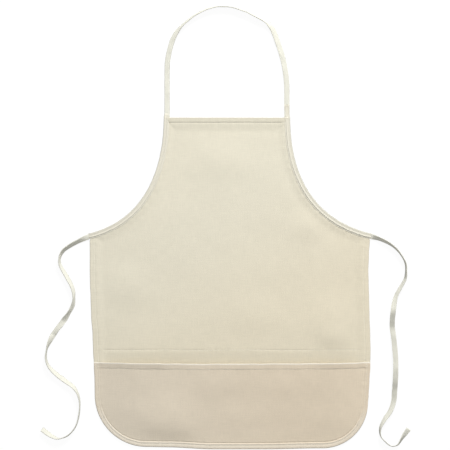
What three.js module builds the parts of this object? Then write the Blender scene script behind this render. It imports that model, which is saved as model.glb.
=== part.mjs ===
// Bib apron in cotton duck, lying flat and face up, with a full-width lap pocket.
// Millimetres: +X to the right of the face, +Y towards the neck, +Z out of the face.
// The origin is on the back of the cloth, on the skirt's centreline, level with the waist corners.
import * as THREE from "three";

// Cut of the body
const skirtWidth = 606;
const skirtLength = 466; // waist corners down to the bottom edge
const bibWidth = 273;
const bibHeight = 250; // waist corners up to the bib's top edge
const bibLean = 6.5; // how far the top of the bib lies to the left of the skirt's centreline
const armholeDrop = 86; // length of the armhole curve's upper handle
const armholeReach = 146; // length of its lower handle
const armholeSlope = 14; // degrees that it still falls where it meets the side
const leftCornerRadius = 112;
const rightCornerRadius = 98;
const leftCornerRise = 5; // how far the bottom edge rises towards the left corner
const rightCornerRise = 2;
const sideDraw = 11; // how far the left side draws in on its way down

// Cloth and turned hems
const clothThickness = 1;
const hemWidth = 12.7;
const hemThickness = 2.4; // three plies pressed together
const hemRamp = 19; // over which the cloth comes down from the hem to the surface
const edgeRound = 0.8; // rolled outer edge of a fold
const seamGap = 0.3; // between two plies that are sewn together
const stripMargin = 0.5; // level cloth beyond the hem and beyond the tape

// Tape: a binding folded over the armhole edges, closed on itself as the loop and ties
const bindingWidth = 12.4;
const bindingThickness = 1;
const bindingRoll = 0.9; // height of its rolled fold, below and above
const strapWidth = 11.3;
const strapThickness = 2;
const strapStep = 12.5; // between two sections of the loop or a tie

// Pocket
const pocketDepth = 188; // mouth down to the bottom edge
const pocketLift = 9; // how far the mouth gapes where it gapes most
const mouthDroop = 3.4; // how far the mouth sags below a straight line
const droopFade = 3; // power by which the sag dies away down the pocket
const mouthHem = 12.7;
const mouthThickness = 2.2;

// Neck loop
const loopHeight = 239; // bib's top edge up to the middle of the tape
const loopInset = 7.2; // bib corner to the middle of the leg
const legFall = 0.8; // height of a strap's underside where it is sewn on

// Relief of the cloth
const swellHeight = 2.1;

const cream = new THREE.MeshStandardMaterial({ color: 0xe0d8c4, roughness: 0.92, metalness: 0 });
const pocketCream = new THREE.MeshStandardMaterial({ color: 0xd5cab2, roughness: 0.92, metalness: 0 });
const tapeCream = new THREE.MeshStandardMaterial({ color: 0xe4e0d2, roughness: 0.85, metalness: 0 });

// Sides: how far each edge wanders inwards, in shares of sideDraw. down: share of skirtLength.
const sideWander = [
  { down: 0.0, left: 0.0, right: 0.0 },
  { down: 0.1, left: 0.03, right: 0.26 },
  { down: 0.17, left: 0.02, right: 0.38 },
  { down: 0.23, left: 0.06, right: 0.32 },
  { down: 0.3, left: 0.19, right: 0.23 },
  { down: 0.38, left: 0.29, right: 0.16 },
  { down: 0.47, left: 0.57, right: 0.02 },
  { down: 0.54, left: 0.67, right: -0.05 },
  { down: 0.62, left: 0.86, right: 0.02 },
  { down: 0.68, left: 0.98, right: 0.19 },
  { down: 0.75, left: 1.02, right: 0.35 },
  { down: 0.79, left: 1.02, right: 0.49 },
];

// Bottom edge between the two corners. across: -1 to 1 over the skirt's width.
const bottomBow = [
  { across: -0.59, rise: leftCornerRise },
  { across: -0.46, rise: 0.84 * leftCornerRise },
  { across: -0.12, rise: 0 },
  { across: 0.25, rise: 0 },
  { across: 0.65, rise: rightCornerRise },
];

// Swells of the body cloth. Places and half-spreads are shares of skirtWidth (across) and of
// skirtLength (up), heights are shares of swellHeight.
const swells = [
  { across: -0.02, up: 0.33, spreadAcross: 0.16, spreadUp: 0.15, height: 0.9 },
  { across: 0.36, up: -0.41, spreadAcross: 0.12, spreadUp: 0.15, height: 1.0 },
  { across: -0.36, up: -0.25, spreadAcross: 0.13, spreadUp: 0.15, height: 0.8 },
  { across: 0.08, up: -0.38, spreadAcross: 0.14, spreadUp: 0.13, height: 0.6 },
  { across: 0.27, up: 0.03, spreadAcross: 0.1, spreadUp: 0.1, height: 0.8 },
];

// Pocket mouth, across the panel from -1 at the left edge to 1 at the right one.
const mouthForm = [
  { across: -1.0, lift: 0.0, droop: 0.0 },
  { across: -0.65, lift: 1.0, droop: 0.6 },
  { across: -0.2, lift: 0.78, droop: 1.0 },
  { across: 0.25, lift: 0.74, droop: 0.85 },
  { across: 0.7, lift: 1.0, droop: 0.6 },
  { across: 1.0, lift: 0.0, droop: 0.0 },
];

// Neck loop from the left bib corner to the right one. across: -1 to 1 between the legs, up: share
// of loopHeight, tilt: degrees that the inner edge is raised, from flat to standing on edge.
const loopRoute = [
  { across: -1.0, up: 0.0, tilt: 0, rise: 1 },
  { across: -1.0, up: 0.16, tilt: 0, rise: 0 },
  { across: -1.0, up: 0.32, tilt: 0, rise: 0 },
  { across: -0.999, up: 0.42, tilt: 3, rise: 0 },
  { across: -0.988, up: 0.525, tilt: 8, rise: 0 },
  { across: -0.945, up: 0.635, tilt: 14, rise: 0 },
  { across: -0.895, up: 0.716, tilt: 24, rise: 0 },
  { across: -0.84, up: 0.77, tilt: 38, rise: 0 },
  { across: -0.755, up: 0.826, tilt: 60, rise: 0 },
  { across: -0.551, up: 0.917, tilt: 73, rise: 0 },
  { across: -0.35, up: 0.974, tilt: 70, rise: 0 },
  { across: -0.196, up: 0.997, tilt: 78, rise: 0 },
  { across: -0.075, up: 1.0, tilt: 84, rise: 0 },
  { across: 0.065, up: 0.995, tilt: 84, rise: 0 },
  { across: 0.297, up: 0.957, tilt: 78, rise: 0 },
  { across: 0.414, up: 0.929, tilt: 72, rise: 0 },
  { across: 0.58, up: 0.885, tilt: 66, rise: 0 },
  { across: 0.662, up: 0.863, tilt: 48, rise: 0 },
  { across: 0.757, up: 0.8, tilt: 18, rise: 0 },
  { across: 0.854, up: 0.667, tilt: 12, rise: 0 },
  { across: 0.943, up: 0.509, tilt: 8, rise: 0 },
  { across: 0.995, up: 0.323, tilt: 3, rise: 0 },
  { across: 1.0, up: 0.15, tilt: 0, rise: 0 },
  { across: 1.0, up: 0.0, tilt: 0, rise: 1 },
];

// The ties' routes, chosen by hand, measured from the waist corner: out away from the side, up
// towards the neck. tilt: degrees that the tape's left edge, looking along it, is raised.
// lift: height of its lower edge above the surface.
const leftTieRoute = [
  { out: 0.3, up: -6.5, tilt: 0, lift: 0.8 },
  { out: 22, up: -16, tilt: -38, lift: 0 },
  { out: 44, up: -28, tilt: -45, lift: 0 },
  { out: 58, up: -39, tilt: -58, lift: 0 },
  { out: 64, up: -52, tilt: -68, lift: 0 },
  { out: 64, up: -66, tilt: -68, lift: 0 },
  { out: 56.5, up: -81, tilt: -54, lift: 0 },
  { out: 45, up: -101, tilt: -46, lift: 0 },
  { out: 36, up: -120, tilt: -52, lift: 0 },
  { out: 33.5, up: -139, tilt: -70, lift: 0 },
  { out: 36, up: -155, tilt: -52, lift: 0 },
  { out: 46, up: -174, tilt: -48, lift: 0 },
  { out: 59.5, up: -193, tilt: 8, lift: 0 },
  { out: 74, up: -212, tilt: 12, lift: 0 },
  { out: 85, up: -231, tilt: -40, lift: 0 },
  { out: 92, up: -250, tilt: -80, lift: 0 },
  { out: 94, up: -269, tilt: -80, lift: 0 },
  { out: 89, up: -285, tilt: -70, lift: 0 },
  { out: 74, up: -302, tilt: -46, lift: 0 },
  { out: 53, up: -318, tilt: -42, lift: 0 },
  { out: 34.5, up: -332, tilt: -54, lift: 0 },
  { out: 26.5, up: -344, tilt: -74, lift: 0 },
  { out: 22, up: -358, tilt: -84, lift: 0 },
  { out: 21, up: -374, tilt: -86, lift: 0 },
  { out: 23, up: -393, tilt: -86, lift: 0 },
  { out: 28, up: -412, tilt: -86, lift: 0 },
  { out: 37, up: -427, tilt: -85, lift: 0 },
  { out: 50, up: -438, tilt: -82, lift: 0 },
  { out: 67, up: -443, tilt: -92, lift: 0 },
  { out: 79, up: -438.8, tilt: -118, lift: 0 },
  { out: 91, up: -431.5, tilt: -138, lift: 0 },
  { out: 103, up: -422.5, tilt: -145, lift: 0 },
];
const rightTieRoute = [
  { out: 0.3, up: -6.5, tilt: 0, lift: 0.8 },
  { out: 12, up: -9.5, tilt: 36, lift: 0.3 },
  { out: 29, up: -16, tilt: 56, lift: 0 },
  { out: 45, up: -25, tilt: 72, lift: 0 },
  { out: 58, up: -36, tilt: 78, lift: 0 },
  { out: 69, up: -51, tilt: 82, lift: 0 },
  { out: 76, up: -66, tilt: 82, lift: 0 },
  { out: 77, up: -82, tilt: 78, lift: 0 },
  { out: 75, up: -98, tilt: 68, lift: 0 },
  { out: 66, up: -115, tilt: 60, lift: 0 },
  { out: 56, up: -133, tilt: 48, lift: 0 },
  { out: 51.5, up: -149, tilt: 34, lift: 5 },
  { out: 48.8, up: -166, tilt: 24, lift: 9 },
  { out: 47.2, up: -184, tilt: 18, lift: 5 },
  { out: 47.4, up: -203, tilt: 18, lift: 0 },
  { out: 49.8, up: -222, tilt: 20, lift: 2 },
  { out: 52.2, up: -247, tilt: 20, lift: 5 },
  { out: 53.8, up: -272, tilt: 20, lift: 8 },
  { out: 53.7, up: -296, tilt: 18, lift: 10.5 },
  { out: 53, up: -319, tilt: 16, lift: 8.5 },
  { out: 52, up: -341, tilt: 16, lift: 2.5 },
  { out: 50.5, up: -362, tilt: 20, lift: 0 },
  { out: 43.3, up: -383, tilt: 34, lift: 0 },
  { out: 30.3, up: -402, tilt: 50, lift: 0 },
  { out: 21, up: -421, tilt: 78, lift: 0 },
  { out: 22, up: -437, tilt: 84, lift: 0 },
  { out: 32.5, up: -450, tilt: 84, lift: 0 },
  { out: 45, up: -459, tilt: 82, lift: 0 },
  { out: 57.5, up: -457, tilt: 76, lift: 0 },
  { out: 68.5, up: -441.5, tilt: 52, lift: 0 },
  { out: 75, up: -432.5, tilt: 30, lift: 0 },
  { out: 83, up: -422, tilt: 15, lift: 0 },
];

// Eased value of a table's column at a place along its key column.
function along(table, key, column, at) {
  const last = table.length - 1;
  if (at <= table[0][key]) return table[0][column];
  if (at >= table[last][key]) return table[last][column];
  const next = table.findIndex((row) => row[key] > at);
  const [from, to] = [table[next - 1], table[next]];
  const share = (at - from[key]) / (to[key] - from[key]);
  const eased = share * share * (3 - 2 * share);
  return from[column] + (to[column] - from[column]) * eased;
}

// A closed surface as a named mesh with its faces pointing out.
function closedMesh(name, points, faces, material) {
  let volume = 0;
  for (const [a, b, c] of faces) {
    volume += points[a].dot(new THREE.Vector3().crossVectors(points[b], points[c]));
  }
  const outward = volume > 0 ? faces : faces.map(([a, b, c]) => [a, c, b]);
  const geometry = new THREE.BufferGeometry().setFromPoints(points);
  geometry.setIndex(outward.flat());
  geometry.computeVertexNormals();
  const mesh = new THREE.Mesh(geometry, material);
  mesh.name = name;
  return mesh;
}

// Outline
const fold = bindingThickness + seamGap; // from a bound edge to the cloth inside it
const plateau = Math.max(hemWidth, bindingWidth) + stripMargin; // edge strip that stays level
const inner = plateau + hemRamp; // edge to where the cloth lies down
const firstStation = 1.15 * inner; // nearest station to a sharp corner that still clears its mitre
const bindingEnd = plateau + 0.6; // corner to where the bound edge ends
const hemStart = plateau + 2.1; // corner to where the full hem starts
const leanPower = 4; // the bib leans most in its upper part
const halfSkirt = skirtWidth / 2;
const mouthLevel = pocketDepth - skirtLength;
const armholeStations = 9;
const sideRows = 7;
const cornerRows = 4;
const topColumns = 20;

const armholeCurve = new THREE.CubicBezierCurve(
  new THREE.Vector2(bibWidth / 2, bibHeight),
  new THREE.Vector2(bibWidth / 2, bibHeight - armholeDrop),
  new THREE.Vector2(
    halfSkirt - armholeReach * Math.cos(THREE.MathUtils.degToRad(armholeSlope)),
    armholeReach * Math.sin(THREE.MathUtils.degToRad(armholeSlope)),
  ),
  new THREE.Vector2(halfSkirt, 0),
);

function leanAt(y) {
  return -bibLean * (1 - (1 - y / bibHeight) ** leanPower);
}

function armholePoint(side, distance) {
  const share = Math.min(1, Math.max(0, distance / armholeCurve.getLength()));
  const p = armholeCurve.getPointAt(share);
  return new THREE.Vector2(side * p.x + leanAt(p.y), p.y);
}

function sidePoint(side, y) {
  const wander = along(sideWander, "down", side < 0 ? "left" : "right", -y / skirtLength);
  return new THREE.Vector2(side * (halfSkirt - sideDraw * wander), y);
}

function cornerOf(side) {
  const radius = side < 0 ? leftCornerRadius : rightCornerRadius;
  const rise = side < 0 ? leftCornerRise : rightCornerRise;
  const start = sidePoint(side, radius + rise - skirtLength);
  return { radius, centre: new THREE.Vector2(start.x - side * radius, start.y) };
}

function cornerPoint(side, angle) {
  const { radius, centre } = cornerOf(side);
  return new THREE.Vector2(
    centre.x + side * radius * Math.cos(angle),
    centre.y - radius * Math.sin(angle),
  );
}

function bottomPoint(x) {
  for (const side of [-1, 1]) {
    const { radius, centre } = cornerOf(side);
    const past = side * (x - centre.x);
    if (past > 0) return new THREE.Vector2(x, centre.y - Math.sqrt(radius ** 2 - past ** 2));
  }
  return new THREE.Vector2(x, along(bottomBow, "across", "rise", x / halfSkirt) - skirtLength);
}

// Stations down one side, from the bib corner to half way round the lower corner. A station with
// spare: true serves the edge strip only, where the bound edge gives way to the hem.
function sideStations(side) {
  const length = armholeCurve.getLength();
  const list = [{ at: armholePoint(side, 0), bound: true }];
  for (let i = 0; i < armholeStations; i++) {
    const share = i / (armholeStations - 1);
    const distance = firstStation + share * (length - 2 * firstStation);
    list.push({ at: armholePoint(side, distance), bound: true });
  }
  list.push({ at: armholePoint(side, length), bound: true });
  list.push({ at: sidePoint(side, -bindingEnd), bound: true, spare: true });
  list.push({ at: sidePoint(side, -hemStart), bound: false, spare: true });
  for (let i = 1; i <= sideRows; i++) {
    const y = -firstStation + (mouthLevel + firstStation) * ((i - 1) / (sideRows - 1));
    list.push({ at: sidePoint(side, y), mouth: i === sideRows });
  }
  list.push({ at: sidePoint(side, mouthLevel - mouthHem) });
  list.push({ at: sidePoint(side, mouthLevel - 2 * mouthHem) });
  for (let i = 0; i <= cornerRows; i++) {
    list.push({ at: cornerPoint(side, (Math.PI / 4) * (i / cornerRows)) });
  }
  return list;
}

function topStations() {
  const left = armholePoint(-1, 0).x;
  const right = armholePoint(1, 0).x;
  const regular = [left];
  for (let i = 0; i < topColumns; i++) {
    const share = i / (topColumns - 1);
    regular.push(left + firstStation + share * (right - left - 2 * firstStation));
  }
  regular.push(right);
  const near = [
    { step: bindingEnd, bound: true, spare: true },
    { step: hemStart, bound: false, spare: true },
  ];
  const list = regular.map((x) => ({ x, bound: x === left || x === right }));
  for (const { step, bound, spare } of near) {
    list.push({ x: left + step, bound, spare }, { x: right - step, bound, spare });
  }
  list.sort((a, b) => a.x - b.x);
  return list.map(({ x, bound, spare }) => ({ at: new THREE.Vector2(x, bibHeight), bound, spare }));
}

const leftStations = sideStations(-1);
const rightStations = sideStations(1);
const upperStations = topStations();
const upperRegular = upperStations.filter((s) => !s.spare);

// Shares across the body of its columns, the same at the top and at the bottom.
const insideLeft = upperRegular[0].at.x + inner;
const insideRight = upperRegular.at(-1).at.x - inner;
const columnShares = upperRegular.map(({ at }, k) => {
  if (k === 0) return 0;
  if (k === upperRegular.length - 1) return 1;
  return (at.x - insideLeft) / (insideRight - insideLeft);
});
const lowerLeft = leftStations.at(-1).at;
const lowerRight = rightStations.at(-1).at;
const lowerStations = columnShares.map((share) => ({
  at: share === 0 ? lowerLeft : share === 1 ? lowerRight
    : bottomPoint(lowerLeft.x + share * (lowerRight.x - lowerLeft.x)),
}));

// The whole outline, anticlockwise from the left bib corner.
const outline = [
  ...leftStations,
  ...lowerStations.slice(1, -1),
  ...rightStations.slice().reverse(),
  ...upperStations.slice(1, -1).reverse(),
];
const rowsOf = (list) => {
  let row = -1;
  for (const station of list) {
    if (!station.spare) row += 1;
    station.row = row;
  }
  return row;
};
const lastRow = rowsOf(leftStations);
rowsOf(rightStations);
for (const station of lowerStations.slice(1, -1)) station.row = lastRow;
for (const station of upperStations.slice(1, -1)) station.row = 0;
const mouthRow = leftStations.find((s) => s.mouth).row;

outline.forEach((station, n) => {
  const before = outline.at(n - 1).at;
  const after = outline[(n + 1) % outline.length].at;
  const inwards = (from, to) => {
    const d = to.clone().sub(from).normalize();
    return new THREE.Vector2(-d.y, d.x);
  };
  const a = inwards(before, station.at);
  const b = inwards(station.at, after);
  station.mitre = a.clone().add(b).divideScalar(1 + a.dot(b));
});

function inset(station, distance) {
  return station.at.clone().addScaledVector(station.mitre, distance);
}

// Height of the cloth's swells above the surface.
function swellAt(x, y) {
  let height = 0;
  for (const s of swells) {
    const u = (x - s.across * skirtWidth) / (s.spreadAcross * skirtWidth);
    const v = (y - s.up * skirtLength) / (s.spreadUp * skirtLength);
    const r = Math.min(1, Math.hypot(u, v));
    height += swellHeight * s.height * Math.cos((Math.PI / 2) * r) ** 2;
  }
  return height;
}

// Net of the body: each vertex has a place, a row, the heights of its underside and face, and
// whether it is part of the lying cloth inside the edge strip.
const bodyNet = { vertices: [], faces: [] };

function netVertex(at, row, under, over, lying) {
  bodyNet.vertices.push({ x: at.x, y: at.y, row, under, over, lying });
  return bodyNet.vertices.length - 1;
}

function edgeHeights(station) {
  const under = station.bound ? fold : 0;
  const over = station.bound ? fold + clothThickness : hemThickness;
  return { under, over, middle: (under + over) / 2 };
}

// Strips along the edge: rolled edge, hem, and the cloth's way down to the surface.
function edgeRing(makeDistance, makeHeights) {
  return outline.map((station) => {
    const [under, over] = makeHeights(edgeHeights(station));
    return netVertex(inset(station, makeDistance(station)), station.row, under, over, false);
  });
}
const edgeOf = (station) => (station.bound ? fold : 0);
const rings = [
  edgeRing(edgeOf, ({ under, over, middle }) => [
    (under + middle) / 2,
    (over + middle) / 2,
  ]),
  edgeRing((s) => edgeOf(s) + edgeRound, ({ under, over }) => [under, over]),
  edgeRing(() => hemWidth, ({ under, over }) => [under, over]),
  edgeRing(() => plateau, ({ over }) => [over - clothThickness, over]),
];
const count = outline.length;
for (let r = 0; r + 1 < rings.length; r++) {
  for (let n = 0; n < count; n++) {
    const m = (n + 1) % count;
    bodyNet.faces.push([rings[r][n], rings[r][m], rings[r + 1][m]]);
    bodyNet.faces.push([rings[r][n], rings[r + 1][m], rings[r + 1][n]]);
  }
}

// Grid of the lying cloth, whose rim takes the regular stations.
const insideOf = (station) => inset(station, inner);
const rimLeft = leftStations.filter((s) => !s.spare).map(insideOf);
const rimRight = rightStations.filter((s) => !s.spare).map(insideOf);
const rimTop = upperRegular.map((station, k) => {
  if (k === 0) return rimLeft[0];
  if (k === upperRegular.length - 1) return rimRight[0];
  return insideOf(station);
});
const rimBottom = lowerStations.map((station, k) => {
  if (k === 0) return rimLeft[lastRow];
  if (k === lowerStations.length - 1) return rimRight[lastRow];
  return insideOf(station);
});
const lastColumn = columnShares.length - 1;
const grid = [];
for (let j = 0; j <= lastRow; j++) {
  const below = (rimLeft[mouthRow].y - rimLeft[j].y) / (rimLeft[mouthRow].y - rimLeft[lastRow].y);
  const bend = Math.max(0, below) ** 2;
  grid.push(
    columnShares.map((share, k) => {
      let at = rimLeft[j].clone().lerp(rimRight[j], share);
      const straight = rimLeft[lastRow].clone().lerp(rimRight[lastRow], share);
      at.add(rimBottom[k].clone().sub(straight).multiplyScalar(bend));
      if (j === 0) at = rimTop[k];
      const height = swellAt(at.x, at.y);
      return netVertex(at, j, height, height + clothThickness, true);
    }),
  );
}
for (let j = 0; j < lastRow; j++) {
  for (let k = 0; k < lastColumn; k++) {
    const [a, b, c, d] = [grid[j][k], grid[j + 1][k], grid[j + 1][k + 1], grid[j][k + 1]];
    const leftHand = k < lastColumn / 2;
    const cutFromTop = j === lastRow - 1 ? !leftHand : leftHand;
    if (cutFromTop) bodyNet.faces.push([a, b, c], [a, c, d]);
    else bodyNet.faces.push([a, b, d], [b, c, d]);
  }
}

// The last edge ring is joined to the grid's rim, spare stations by single triangles.
const rim = [
  ...grid.map((row) => row[0]),
  ...grid[lastRow].slice(1, -1),
  ...grid.map((row) => row[lastColumn]).reverse(),
  ...grid[0].slice(1, -1).reverse(),
];
const rimOf = [];
let passed = -1;
for (const station of outline) {
  if (!station.spare) passed += 1;
  rimOf.push(passed);
}
for (let n = 0; n < count; n++) {
  const m = (n + 1) % count;
  const outer = rings.at(-1);
  const [from, to] = [rim[rimOf[n]], rim[rimOf[m]]];
  bodyNet.faces.push([outer[n], outer[m], to]);
  if (from !== to) bodyNet.faces.push([outer[n], to, from]);
}

// A net with two heights at each vertex becomes a closed sheet of cloth.
function clothSheet(name, net, material) {
  const used = [...new Set(net.faces.flat())];
  const place = new Map(used.map((vertex, i) => [vertex, i]));
  const under = used.map((i) => net.vertices[i]).map((v) => new THREE.Vector3(v.x, v.y, v.under));
  const over = used.map((i) => net.vertices[i]).map((v) => new THREE.Vector3(v.x, v.y, v.over));
  const shift = used.length;
  const faces = [];
  const edges = new Map();
  for (const face of net.faces) {
    const [a, b, c] = face.map((vertex) => place.get(vertex));
    faces.push([a + shift, b + shift, c + shift], [a, c, b]);
    for (const [from, to] of [[a, b], [b, c], [c, a]]) {
      if (!edges.delete(to + "," + from)) edges.set(from + "," + to, [from, to]);
    }
  }
  for (const [from, to] of edges.values()) {
    faces.push([from, to, to + shift], [from, to + shift, from + shift]);
  }
  return closedMesh(name, [...under, ...over], faces, material);
}

// Pocket: the part of the body's net below the mouth, laid on the body's face.
function pocketNet() {
  const deepest = -skirtLength + plateau;
  const vertices = bodyNet.vertices.map((v) => {
    const across = v.x / halfSkirt;
    const depth = Math.min(1, Math.max(0, (mouthLevel - v.y) / (mouthLevel - deepest)));
    const gape = v.lying ? along(mouthForm, "across", "lift", across) : 0;
    const sag = v.lying ? along(mouthForm, "across", "droop", across) : 0;
    const under = v.over + seamGap + pocketLift * gape * (1 - depth ** 2);
    const over = under + (v.row <= mouthRow + 1 ? mouthThickness : clothThickness);
    const droop = mouthDroop * sag * (1 - depth) ** droopFade;
    return { x: v.x, y: v.y - droop, under, over };
  });
  const below = (i) => bodyNet.vertices[i].row >= mouthRow;
  const faces = bodyNet.faces.filter((face) => face.every(below));
  return { vertices, faces };
}

// Loft through closed sections of equal count, with flat ends.
function loft(name, sections, endPlan, material) {
  const points = sections.flat();
  const size = sections[0].length;
  const faces = [];
  for (let s = 0; s + 1 < sections.length; s++) {
    for (let i = 0; i < size; i++) {
      const [a, b] = [s * size + i, s * size + ((i + 1) % size)];
      faces.push([a, b, b + size], [a, b + size, a + size]);
    }
  }
  const ends = THREE.ShapeUtils.triangulateShape(endPlan, []);
  const last = (sections.length - 1) * size;
  const forwards = THREE.ShapeUtils.area(endPlan) > 0;
  for (const [a, b, c] of ends) {
    faces.push(forwards ? [a, c, b] : [a, b, c]);
    faces.push(forwards ? [last + a, last + b, last + c] : [last + a, last + c, last + b]);
  }
  return closedMesh(name, points, faces, material);
}

// Armhole binding: tape folded over the raw edge, cut off along the top hem and along the side.
function armholeBinding(name, side, stations) {
  const height = 2 * fold + clothThickness;
  const section = [
    [bindingWidth, 0],
    [edgeRound, 0],
    [0, bindingRoll],
    [0, height - bindingRoll],
    [edgeRound, height],
    [bindingWidth, height],
    [bindingWidth, height - bindingThickness],
    [bindingThickness, height - bindingThickness],
    [bindingThickness, bindingThickness],
    [bindingWidth, bindingThickness],
  ];
  const bound = stations.filter((s) => s.bound && !s.spare);
  const cutAlong = (corner, beside, neighbour) => {
    const edge = beside.clone().sub(corner).normalize();
    const run = neighbour.clone().sub(corner).normalize();
    return edge.divideScalar(Math.abs(edge.cross(run)));
  };
  const top = cutAlong(bound[0].at, new THREE.Vector2(0, bibHeight), bound[1].at);
  const waist = bound.at(-1).at;
  const sideways = cutAlong(waist, sidePoint(side, -plateau), bound.at(-2).at);
  const sections = bound.map((station, i) => {
    let way = station.mitre;
    if (i === 0) way = top;
    if (i === bound.length - 1) way = sideways;
    return section.map(([distance, z]) => {
      const at = station.at.clone().addScaledVector(way, distance);
      return new THREE.Vector3(at.x, at.y, z);
    });
  });
  const plan = section.map(([distance, z]) => new THREE.Vector2(distance, z));
  return loft(name, sections, plan, tapeCream);
}

// Flat tape along a route of points with a tilt and a height of the lower edge. Its first end is cut
// square to the direction in which it sets off.
function strap(name, route, setOff) {
  const [a, b, cut] = [strapWidth / 2, strapThickness / 2, strapThickness / 4];
  const section = [
    [a, -b + cut],
    [a, b - cut],
    [a - cut, b],
    [-a + cut, b],
    [-a, b - cut],
    [-a, -b + cut],
    [-a + cut, -b],
    [a - cut, -b],
  ];
  const curve = new THREE.CatmullRomCurve3(
    route.map(({ x, y }) => new THREE.Vector3(x, y, 0)),
    false,
    "centripetal",
  );
  const spans = route.length - 1;
  const sections = [];
  for (let i = 0; i < spans; i++) {
    const [from, to] = [route[i], route[i + 1]];
    const steps = Math.max(1, Math.round(Math.hypot(to.x - from.x, to.y - from.y) / strapStep));
    for (let s = 0; s < steps + (i === spans - 1 ? 1 : 0); s++) {
      const share = s / steps;
      const at = curve.getPoint((i + share) / spans);
      const ahead = i + s === 0 ? setOff : curve.getTangent((i + share) / spans);
      const tilt = THREE.MathUtils.degToRad(from.tilt + (to.tilt - from.tilt) * share);
      const lift = from.lift + (to.lift - from.lift) * share;
      const left = new THREE.Vector3(-ahead.y, ahead.x, 0).normalize();
      const up = new THREE.Vector3(0, 0, 1);
      const across = left.clone().multiplyScalar(Math.cos(tilt)).addScaledVector(up, Math.sin(tilt));
      const face = left.clone().multiplyScalar(-Math.sin(tilt)).addScaledVector(up, Math.cos(tilt));
      const lowest = Math.min(...section.map(([w, t]) => w * across.z + t * face.z));
      at.z = lift - lowest;
      sections.push(
        section.map(([w, t]) => at.clone().addScaledVector(across, w).addScaledVector(face, t)),
      );
    }
  }
  const plan = section.map(([w, t]) => new THREE.Vector2(w, t));
  return loft(name, sections, plan, tapeCream);
}

function neckLoop() {
  const left = armholePoint(-1, 0).x + loopInset;
  const right = armholePoint(1, 0).x - loopInset;
  const route = loopRoute.map(({ across, up, tilt, rise }) => ({
    x: (left + right) / 2 + (across * (right - left)) / 2,
    y: bibHeight + seamGap + up * (loopHeight - seamGap),
    tilt: -tilt,
    lift: rise * legFall,
  }));
  return strap("neck_loop", route, new THREE.Vector3(0, 1, 0));
}

function tie(name, side, route) {
  const corner = sidePoint(side, 0);
  return strap(
    name,
    route.map(({ out, up, tilt, lift }) => ({ x: corner.x + side * out, y: up, tilt, lift })),
    new THREE.Vector3(side, 0, 0),
  );
}

const apron = new THREE.Group();
apron.add(
  clothSheet("body_panel", bodyNet, cream),
  clothSheet("pocket_panel", pocketNet(), pocketCream),
  armholeBinding("left_armhole_binding", -1, leftStations),
  armholeBinding("right_armhole_binding", 1, rightStations),
  neckLoop(),
  tie("left_tie", -1, leftTieRoute),
  tie("right_tie", 1, rightTieRoute),
);

export default apron;
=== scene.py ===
# Bib apron of cream cotton duck, lying flat and face up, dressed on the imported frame.
# Metres: +X to the right of the face, +Y towards the neck, +Z out of the face.
import math

import bmesh
import bpy
import numpy as np
from mathutils.geometry import delaunay_2d_cdt
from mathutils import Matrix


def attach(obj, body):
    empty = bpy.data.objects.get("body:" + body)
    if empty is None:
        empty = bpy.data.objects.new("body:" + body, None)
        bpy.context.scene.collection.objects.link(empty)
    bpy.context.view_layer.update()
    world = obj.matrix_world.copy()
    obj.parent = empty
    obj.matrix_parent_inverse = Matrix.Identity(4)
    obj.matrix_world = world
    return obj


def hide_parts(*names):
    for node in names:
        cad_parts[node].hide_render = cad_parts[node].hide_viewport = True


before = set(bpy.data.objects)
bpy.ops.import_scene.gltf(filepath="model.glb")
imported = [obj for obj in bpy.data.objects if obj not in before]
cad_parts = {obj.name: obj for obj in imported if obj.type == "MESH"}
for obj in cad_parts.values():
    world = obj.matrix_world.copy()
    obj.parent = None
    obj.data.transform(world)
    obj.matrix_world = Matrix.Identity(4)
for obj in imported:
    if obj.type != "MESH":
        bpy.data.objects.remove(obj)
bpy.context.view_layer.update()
scene = bpy.context.scene

# View
# The apron lay on a level surface and was photographed from straight above with a long lens.
# A 135 mm lens 3.6 m up takes in 972 mm across, which is 2.16 mm for each of the 450 pixels.
pixel = 0.00216
lens_length = 135.0
sensor_width = 36.0
view_centre = (-0.0108, 0.0179)

camera = bpy.data.objects.new("camera", bpy.data.cameras.new("camera"))
camera.data.lens = lens_length
camera.data.sensor_width = sensor_width
camera.data.clip_end = 30
camera.location = (*view_centre, 450 * pixel * lens_length / sensor_width)
scene.collection.objects.link(camera)
scene.camera = camera

# Waist ties
# Each tie is the armhole's own cotton tape run on past the waist corner: folded lengthways with
# its raw edges turned in, and closed by one row of stitching near the open edge. It ends bare.
half_skirt = 0.303
tape_width = 0.0113
tape_step = 0.0025
tape_white = (0.785, 0.775, 0.68)
tape_thread = 0.0009
# Darker colour painted on the tapes' rolled edges as their shade.
tape_edge_shade = (0.6, 0.585, 0.51)
tape_relief = 0.00009

# Where each tie lies, measured in millimetres from the waist corner: out away from the side, up
# towards the neck, degrees that the left edge is raised, height of the tape.
left_tie_route = [
    (0.3, -6.5, 0, 0.8), (22, -16, -38, 0), (44, -28, -45, 0), (58, -39, -58, 0),
    (64, -52, -68, 0), (64, -66, -68, 0), (56.5, -81, -54, 0), (45, -101, -46, 0),
    (36, -120, -52, 0), (33.5, -139, -70, 0), (36, -155, -52, 0), (46, -174, -48, 0),
    (59.5, -193, 8, 0), (74, -212, 12, 0), (85, -231, -40, 0), (92, -250, -80, 0),
    (94, -269, -80, 0), (89, -285, -70, 0), (74, -302, -46, 0), (53, -318, -42, 0),
    (34.5, -332, -54, 0), (26.5, -344, -74, 0), (22, -358, -84, 0), (21, -374, -86, 0),
    (23, -393, -86, 0), (28, -412, -86, 0), (37, -427, -85, 0), (50, -438, -82, 0),
    (67, -443, -92, 0), (79, -438.8, -118, 0), (91, -431.5, -138, 0), (103, -422.5, -145, 0),
]
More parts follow.
